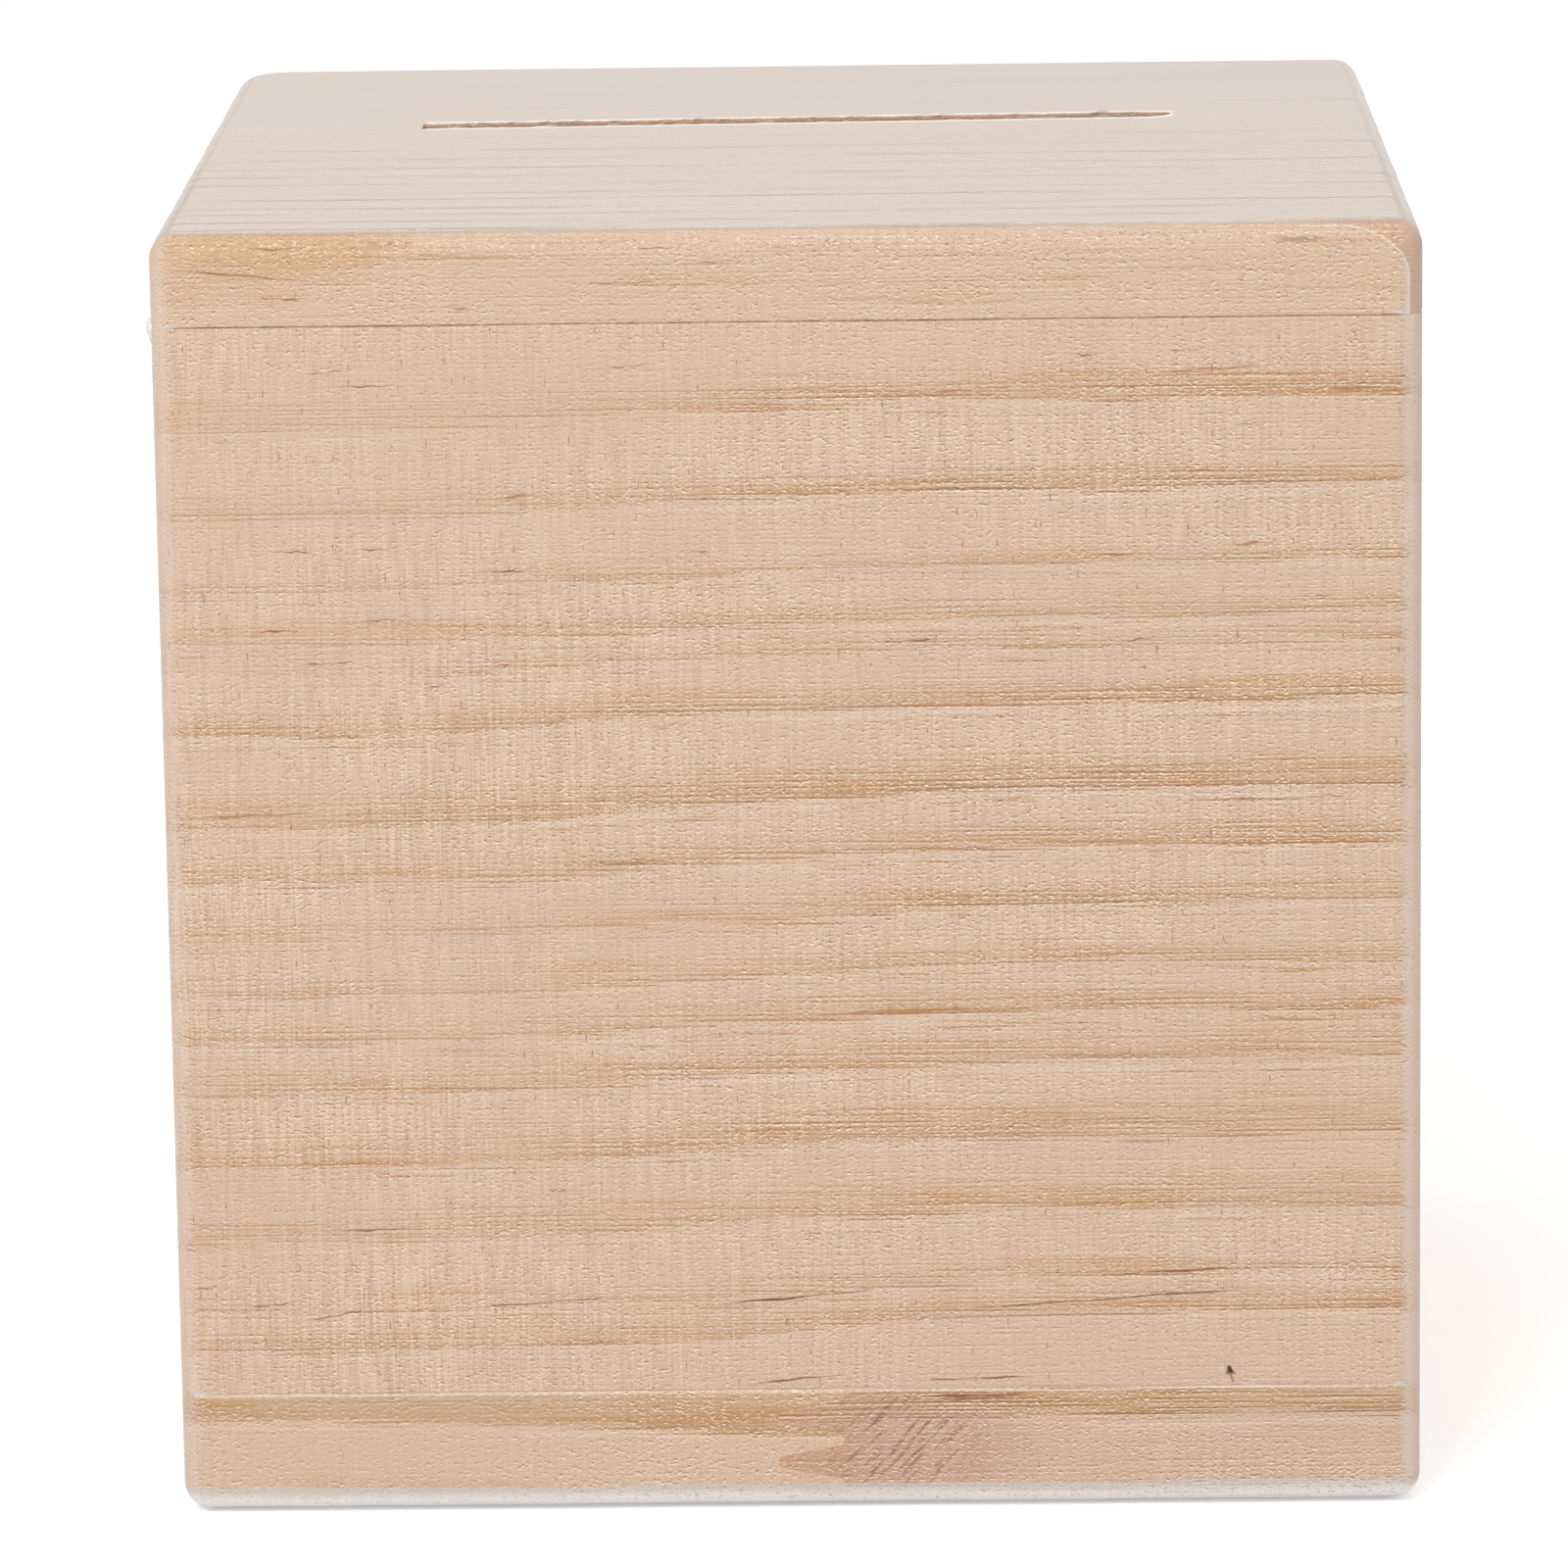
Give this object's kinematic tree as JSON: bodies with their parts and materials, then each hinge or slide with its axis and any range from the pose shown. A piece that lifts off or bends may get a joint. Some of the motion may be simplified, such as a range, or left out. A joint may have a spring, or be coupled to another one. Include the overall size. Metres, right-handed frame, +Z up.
{
  "type": "wooden money box",
  "caption": "Square unfinished pine money box with a slot in its top board for coins and notes; the case lifts off a screwed-on base board.",
  "frame": {"origin": "centre of the underside of the base board, on the surface that the box stands on", "axes": "+Z up, the front board faces -Y, +X to the right seen from the front"},
  "size_m": [0.115, 0.115, 0.12],
  "materials": {
    "top_pine": "raw sanded pine, pale, fine straight grain",
    "wall_pine": "raw sanded pine with soft horizontal growth rings",
    "base_pine": "raw sanded finger-jointed pine",
    "base_red_pine": "raw sanded pine, redder length of the finger-jointed strip",
    "beech": "plain beech dowel",
    "zinc_steel": "bright zinc-plated steel"
  },
  "bodies": {
    "base": {"base_front_strip_left": "base_pine", "base_front_strip_right": "base_red_pine", "base_middle_strip": "base_pine", "base_rear_strip": "base_pine"},
    "case": {"top_board": "top_pine", "front_board": "wall_pine", "back_board": "wall_pine", "left_board": "wall_pine", "right_board": "wall_pine", "corner_dowels": "beech"},
    "screw_front_left": {"base_screw_front_left": "zinc_steel"},
    "screw_front_right": {"base_screw_front_right": "zinc_steel"},
    "screw_rear_left": {"base_screw_rear_left": "zinc_steel"},
    "screw_rear_right": {"base_screw_rear_right": "zinc_steel"}
  },
  "joints": [
    {"name": "case_lift", "type": "slide", "parent": "base", "child": "case", "axis": [0, 0, 1], "range_m": [0, 0.06]},
    {"name": "screw_out_front_left", "type": "slide", "parent": "base", "child": "screw_front_left", "axis": [0, 0, -1], "range_m": [0, 0.03]},
    {"name": "screw_out_front_right", "type": "slide", "parent": "base", "child": "screw_front_right", "axis": [0, 0, -1], "range_m": [0, 0.03]},
    {"name": "screw_out_rear_left", "type": "slide", "parent": "base", "child": "screw_rear_left", "axis": [0, 0, -1], "range_m": [0, 0.03]},
    {"name": "screw_out_rear_right", "type": "slide", "parent": "base", "child": "screw_rear_right", "axis": [0, 0, -1], "range_m": [0, 0.03]}
  ]
}
